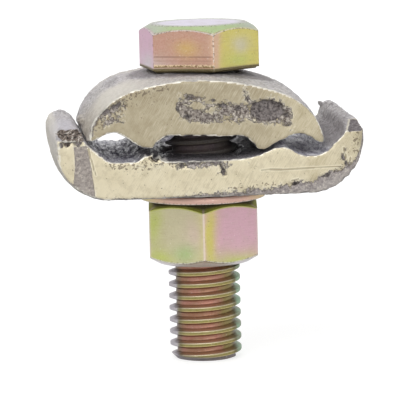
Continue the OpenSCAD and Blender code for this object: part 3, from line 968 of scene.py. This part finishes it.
def zinc_plating(name):
    """Yellow zinc plating: painted tints, broken up by fine grain, specks, scores and pale edges of wear and
    highlight.
    """
    s = material(name)
    at = s.place()
    grain = s.noise(at, 5.0, 4, 0.6)
    cloud = s.noise(at, 0.8, 3, 0.5)
    fine = s.noise(at, 3.5, 2, 0.5)
    brushed = s.noise(s.stretched(at, 0, (0.5, 0.5, 9.0)), 1.0, 2, 0.5)
    grime, edge = s.attribute("grime"), s.attribute("wear_and_highlight")
    colour = s.layers(s.attribute("tint", "Color"), PLATING, (
        ("glint", s.step(grain, 0.3, 0.7), 0.1),
        ("cloud", s.step(cloud, 0.35, 0.7), 0.12),
        ("brushed", s.step(brushed, 0.5, 0.75), 0.15),
        ("speck", s.step(fine, 0.69, 0.74), 0.5),
        ("pale_speck", s.step(fine, 0.31, 0.26), 0.4),
    ))
    colour = scored(s, colour, cloud, fine)
    ragged = s.times(s.minus(grain, 0.5), 0.9)
    colour = s.lay(colour, PLATING["worn_and_highlight"], s.step(s.plus(edge, ragged), 0.35, 0.7), 0.75)
    dots = s.times(s.step(fine, 0.54, 0.6), s.step(edge, 0.15, 0.35))
    colour = s.lay(colour, PLATING["dot"], dots, 0.55)
    shader = s.node("BsdfPrincipled", {
        "Base Color": colour,
        "Metallic": s.times(s.minus(1.0, grime), 0.6),
        "Specular Tint": PLATING_SPECULAR,
        "Roughness": s.plus(s.times(grime, 0.4), s.plus(0.3, s.times(grain, 0.15))),
        "Normal": s.bump(grain, 0.015, 0.5),
    })
    return s.surface(shader.outputs["BSDF"])


def scored(s, colour, cloud, fine):
    """Two thin scored lines across a flat of the head, and a torn edge below them with a cream burr."""
    rise = s.attribute("rise")
    for height, half_width, strength in SCORES:
        off = s.math("ABSOLUTE", s.minus(rise, height))
        line = s.times(s.step(off, half_width, half_width * 0.4), s.step(cloud, 0.25, 0.5))
        colour = s.lay(colour, PLATING["score"], line, strength)
    torn = s.plus(rise, s.times(s.minus(fine, 0.5), 0.9))
    burr = s.times(s.step(torn, BURR_Z + 0.2, BURR_Z + 0.08), s.step(fine, 0.35, 0.5))
    colour = s.lay(colour, PLATING["burr"], burr, 0.85)
    return s.lay(colour, PLATING["torn"], s.step(torn, BURR_Z, BURR_Z - 0.1), 0.85)


# The pieces

PINK = (214, 170, 184)
MAUVE = (214, 172, 192)
SALMON = (189, 144, 127)
YELLOW = (210, 198, 104)
LIME = (192, 200, 108)
GREEN = (156, 192, 118)
BEIGE = (204, 196, 160)
LAVENDER = (234, 229, 242)
OLIVE = (128, 118, 52)
RUST = (150, 104, 78)
MINT = (150, 196, 162)
# Tints of the six flats, from the one after the corner at the hexagon's turn
HEAD_FLATS = (SALMON, PINK, MAUVE, SALMON, YELLOW, LIME)
NUT_FLATS = (BEIGE, PINK, YELLOW, BEIGE, PINK, LIME)
WASHER_TINT = (220, 178, 164)
# Heights between which the painted shade of the slot begins on the thread
THREAD_SHADE_Z = (21.6, 23.6)


def flat_tints(points, turn, tints):
    """The tint of the flat that each point lies on."""
    return np.array([linear(c) for c in tints])[facet_number(points, turn)]


def head_mesh_rings(seat, high):
    """Rings of points from the bevel under the head up to its top."""
    outline = hex_outline(HEAD_TURN, HEAD_CORNER_R)
    radius = np.hypot(*outline.T)[:, None]
    rings = hex_rings(outline, seat, high, None, HEAD_FLAT_R, 24)
    rings[0] = ring(outline, seat + HEAD_BEVEL)
    rings.insert(0, ring(outline * (1 - HEAD_BEVEL / radius), seat))
    for share in (0.75, 0.4):
        rings.append(ring(outline / radius * HEAD_FLAT_R * share, high))
    return rings


def head_colour(p, n, seat, high):
    """Tinted flats, a green chamfer, a lavender top and an olive bevel below."""
    x, y, z = p.T
    mid = seat + HEAD_H / 2
    spots = [
        (facet(HEAD_TURN, 2, 1, seat + 1), (3, 4, 1.2), (214, 206, 210), 0.9),
        (facet(HEAD_TURN, 3, 0.6, mid + 0.2), (1.6, 1.5, 1.1), (204, 170, 98), 0.8),
        (facet(HEAD_TURN, 4, -3.6, mid), (0.9, 0.9, 6), (216, 178, 150), 1.2),
        (facet(HEAD_TURN, 4, 0.8, mid + 0.4), (1.6, 1.5, 1.3), (202, 196, 178), 0.8),
        (facet(HEAD_TURN, 4, 0.5, seat + 1.2), (2.4, 2.4, 0.9), LIME, 0.8),
    ]
    colour = plated(p, flat_tints(p, HEAD_TURN, HEAD_FLATS), spots, 60)
    chamfer = ramp(n[:, 2], 0.55, 0.75)
    inside = ramp(-np.hypot(x, y), -HEAD_FLAT_R - 0.05, -HEAD_FLAT_R + 0.3)
    return over(colour, (
        ((178, 200, 146), chamfer),
        ((190, 196, 186), 0.7 * ramp(np.abs(x), 3.5, 6.5) * chamfer),
        (LAVENDER, ramp(z, high - 0.1, high - 0.02) * inside),
        ((140, 126, 84), ramp(-z, -seat - HEAD_BEVEL - 0.12, -seat - HEAD_BEVEL + 0.02)),
    ))


def bolt_piece():
    low, high = (v[2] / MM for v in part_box("bolt"))
    seat = high - HEAD_H
    shank, head = thread_mesh(low, seat + 0.3), strips(head_mesh_rings(seat, high), False)
    mesh = mesh_of("bolt", *join([shank, head]))
    welded(mesh)
    mesh.set_sharp_from_angle(angle=math.radians(SHARP))
    p, n = vertex_arrays(mesh)
    x, y, z = p.T
    radius = np.hypot(x, y)
    on_shank = (z < seat - 0.001) | (radius < MAJOR_R + 0.01) & (z < seat + 0.5)
    colour = np.where(on_shank[:, None], thread_colour(p), head_colour(p, n, seat, high))
    # Pale edges on the chamfer, round the top and up the corners: wear and painted highlight, brighter to +X
    arcs = 0.75 * bell(n[:, 2], 0.5, 0.3)
    top_rim = 0.6 * bell(radius, HEAD_FLAT_R, 0.25) * ramp(z, high - 0.1, high - 0.02)
    uprights = (0.3 + 0.2 * ramp(x, -2, 1)) * hex_edges(p, HEAD_TURN)
    wear_and_highlight = np.maximum.reduce([uprights, arcs, top_rim])
    scored_flat = (facet_number(p, HEAD_TURN) == SCORED_FLAT) & ~on_shank
    scored_flat &= (z > seat + HEAD_BEVEL - 0.01) & (n[:, 2] < 0.4)
    rise = np.where(scored_flat, z - seat, UNSCORED)
    # The painted shade of the thread in the jaws also dulls its metal
    paint(mesh, colour, np.where(on_shank, 0, wear_and_highlight), rise, on_shank * ramp(z, *THREAD_SHADE_Z))
    mesh.materials.append(zinc_plating("zinc_bolt"))
    return new_piece("threaded_bolt", mesh, "bolt", "bolt")


def thread_colour(p):
    """Olive crests with painted highlights on their edges, rust roots, paler upper flanks as painted light,
    painted shade towards both sides, mint to the right, pale to the left, painted shade in the jaws.
    """
    x, y, z = p.T
    angle = np.arctan2(y, x)
    phase = thread_phase(angle, z)
    crest = np.minimum(phase, 1 - phase)
    return over(np.tile(linear(RUST), (len(p), 1)), (
        ((176, 118, 106), 0.7 * ramp(noise(p, 2.0, 71), 0, 0.5)),
        (OLIVE, 0.9 * ramp(np.cos(angle) + 0.2 * noise(p, 1.5, 73), 0.25, 0.7)),
        # Upper flanks made paler: painted light against their shade
        ((206, 158, 120), 0.8 * bell(phase, 0.25, 0.12)),
        ((134, 123, 58), 1 - ramp(crest, 0.1, 0.16)),
        # Painted highlights along both edges of each crest
        ((232, 222, 196), bell(phase, 0.135, 0.05)),
        ((238, 220, 148), bell(phase, 0.865, 0.06)),
        # Darker towards both sides of the shank: painted shade
        ((84, 80, 50), 0.7 * ramp(np.abs(x), 3.1, 3.7)),
        (MINT, ramp(x, 3.8, 4.0) * (0.55 + 0.45 * noise(p, 1.1, 75))),
        ((178, 174, 180), ramp(-x, 3.8, 4.0)),
        ((112, 104, 108), ramp(-z, -0.75, -0.45)),
        # Painted shade: the thread darkened where it sits in the jaws
        ((104, 99, 108), 0.85 * ramp(z + 0.5 * noise(p, 1.5, 77), *THREAD_SHADE_Z)),
    ))


def nut_piece():
    low, high = (v[2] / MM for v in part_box("nut"))
    outline = hex_outline(NUT_TURN, NUT_CORNER_R)
    direction = outline / np.hypot(*outline.T)[:, None]
    wide, cut = NUT_BORE_R + NUT_BORE_CHAMFER, NUT_BORE_CHAMFER
    section = ((wide, high), (NUT_BORE_R, high - cut), (NUT_BORE_R, low + cut), (wide, low))
    bore = [ring(direction * r, z) for r, z in section]
    mesh = mesh_of("nut", *strips(hex_rings(outline, low, high, NUT_FLAT_R, NUT_FLAT_R, 32) + bore, True))
    p, n = vertex_arrays(mesh)
    mid = (low + high) / 2
    spots = [
        (facet(NUT_TURN, 3, -3.6, mid + 1.5), (1.4, 1.4, 3), LIME, 1.0),
        (facet(NUT_TURN, 3, -2.5, low + 1.2), (2.2, 2, 1.4), LIME, 1.0),
        (facet(NUT_TURN, 3, 1.2, low + 1.9), (1.4, 1.4, 1.2), GREEN, 0.7),
        (facet(NUT_TURN, 3, 2.6, mid + 0.3), (1.3, 1.3, 1.6), (216, 192, 178), 0.8),
        (facet(NUT_TURN, 4, -3.3, mid), (1.0, 1.0, 6), YELLOW, 1.1),
        (facet(NUT_TURN, 4, 0.4, low + 0.4), (4, 4, 1.5), LIME, 1.1),
    ]
    colour = plated(p, flat_tints(p, NUT_TURN, NUT_FLATS), spots, 80)
    outer_chamfer = ramp(n[:, 2], 0.2, 0.4) * ramp(hex_share(p, NUT_TURN, NUT_FLAT_R), 0.45, 0.85)
    colour = over(colour, (
        # Painted shade on the nut's upward faces, under the washer
        ((74, 70, 32), ramp(n[:, 2], 0.3, 0.6)),
        ((178, 186, 70), outer_chamfer),
        # Downward faces made near white: painted light
        ((244, 240, 240), ramp(-n[:, 2], 0.55, 0.8)),
        # Pale upright edges: wear and painted highlight
        ((226, 206, 204), 0.65 * hex_edges(p, NUT_TURN, 0.2)),
    ))
    # Pale edge of the bottom chamfer: painted highlight
    paint(mesh, colour, 0.8 * bell(n[:, 2], -0.5, 0.3))
    mesh.materials.append(zinc_plating("zinc_nut"))
    return new_piece("hex_nut", mesh, "nut", "nut")


def washer_piece():
    bottom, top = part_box("washer")
    low, high, outer = bottom[2] / MM, top[2] / MM, top[0] / MM
    inner = MAJOR_R + WASHER_GAP
    soft, wide, tight = WASHER_SOFT, WASHER_SOFT * 1.5, WASHER_SOFT * 0.4
    section = [
        (inner + soft, low), (outer - wide, low), (outer - tight, low + tight), (outer, low + wide),
        (outer, high - wide), (outer - tight, high - tight), (outer - wide, high),
        (inner + soft, high), (inner, high - soft), (inner, low + soft),
    ]
    angle = np.linspace(0, 2 * math.pi, 160, endpoint=False)
    circle = np.column_stack([np.cos(angle), np.sin(angle)])
    mesh = mesh_of("washer", *strips([ring(circle * r, z) for r, z in section], True))
    p, _ = vertex_arrays(mesh)
    spots = [((outer, -2, high), (4, 4, 3), YELLOW, 0.8), ((-outer, -3, high), (3, 4, 3), LIME, 0.6)]
    colour = plated(p, np.tile(linear(WASHER_TINT), (len(p), 1)), spots, 90)
    # Pale lower edge: wear and painted highlight
    paint(mesh, colour, 0.7 * ramp(-p[:, 2], -low - 0.35, -low - 0.1))
    mesh.materials.append(zinc_plating("zinc_washer"))
    return new_piece("plain_washer", mesh, "washer", "washer")


# Floor, light and camera

LENS_F = 3000 / 400            # focal length as a share of the picture's width
SENSOR = 36.0
CAMERA_ELEVATION = 7.995
CAMERA_ROLL = -1.439
CAMERA_AZIMUTH = -5.5
CAMERA_DISTANCE = 398.717
CAMERA_TARGET = (-0.324, 21.043)   # to the right and up


def towards(azimuth, elevation):
    """Direction from the object to a camera or lamp. Azimuth 0 is the front."""
    a, e = math.radians(azimuth), math.radians(elevation)
    return Vector((math.sin(a) * math.cos(e), -math.cos(a) * math.cos(e), math.sin(e)))


def add_camera():
    a, roll = math.radians(CAMERA_AZIMUTH), math.radians(CAMERA_ROLL)
    back = towards(CAMERA_AZIMUTH, CAMERA_ELEVATION)
    right = Vector((math.cos(a), math.sin(a), 0))
    up = back.cross(right)
    place = right * CAMERA_TARGET[0] + Vector((0, 0, CAMERA_TARGET[1])) + back * CAMERA_DISTANCE
    right, up = right * math.cos(roll) + up * math.sin(roll), up * math.cos(roll) - right * math.sin(roll)
    data = bpy.data.cameras.new("camera")
    data.sensor_width = SENSOR
    data.lens = SENSOR * LENS_F
    data.clip_start, data.clip_end = 0.01, 20
    camera = linked("camera", data)
    camera.matrix_world = Matrix((right, up, back)).transposed().to_4x4()
    camera.location = place * MM
    bpy.context.scene.camera = camera


def seen_directly(s):
    """1 for rays from the camera and for mirrored and transmitted ones."""
    path = s.node("LightPath")
    seen = s.most(path.outputs["Is Camera Ray"], path.outputs["Is Glossy Ray"])
    return s.most(seen, path.outputs["Is Transmission Ray"])


FLOOR_ALBEDO = 0.4
FLOOR_LIFT = 0.72
WORLD_LIGHT = 0.5


def add_floor():
    bpy.ops.mesh.primitive_plane_add(size=8, location=(0, 0, 0))
    floor = bpy.context.object
    floor.name = "floor"
    s = material("floor")
    diffuse = s.node("BsdfDiffuse", {"Color": (FLOOR_ALBEDO,) * 3 + (1,)})
    lift = s.times(seen_directly(s), FLOOR_LIFT)
    glow = s.node("Emission", {"Color": (1, 1, 1, 1), "Strength": lift})
    both = s.node("AddShader", {0: diffuse.outputs[0], 1: glow.outputs[0]})
    floor.data.materials.append(s.surface(both.outputs[0]))


def add_world():
    s = Shade(bpy.data.worlds.new("studio"), "OutputWorld")
    level = s.node("MapRange", {"Value": seen_directly(s), "To Min": WORLD_LIGHT, "To Max": 1.0})
    light = s.node("Background", {"Color": (1, 1, 1, 1), "Strength": level.outputs["Result"]})
    bpy.context.scene.world = s.surface(light.outputs[0])


def add_sun(name, azimuth, elevation, level, spread, mirrored=True):
    """Soft far light. level 1 lights a white surface that faces it to white."""
    data = bpy.data.lights.new(name, "SUN")
    data.energy = level * math.pi
    data.angle = math.radians(spread)
    lamp = linked(name, data)
    lamp.rotation_euler = towards(azimuth, elevation).to_track_quat("Z", "Y").to_euler()
    lamp.visible_glossy = mirrored


def main():
    bolt_piece()
    nut_piece()
    washer_piece()
    casting("upper_casting", "upper_jaw", UPPER_JAW, cast_brass("cast_upper"))
    casting("lower_casting", "lower_jaw", LOWER_JAW, cast_brass("cast_lower"))
    add_floor()
    add_world()
    add_sun("key", azimuth=-35, elevation=50, level=0.42, spread=50)
    add_sun("fill", azimuth=8, elevation=8, level=0.2, spread=40)
    add_sun("back", azimuth=176, elevation=14, level=0.72, spread=60, mirrored=False)
    add_camera()
    bpy.context.scene.view_settings.view_transform = "Standard"


main()
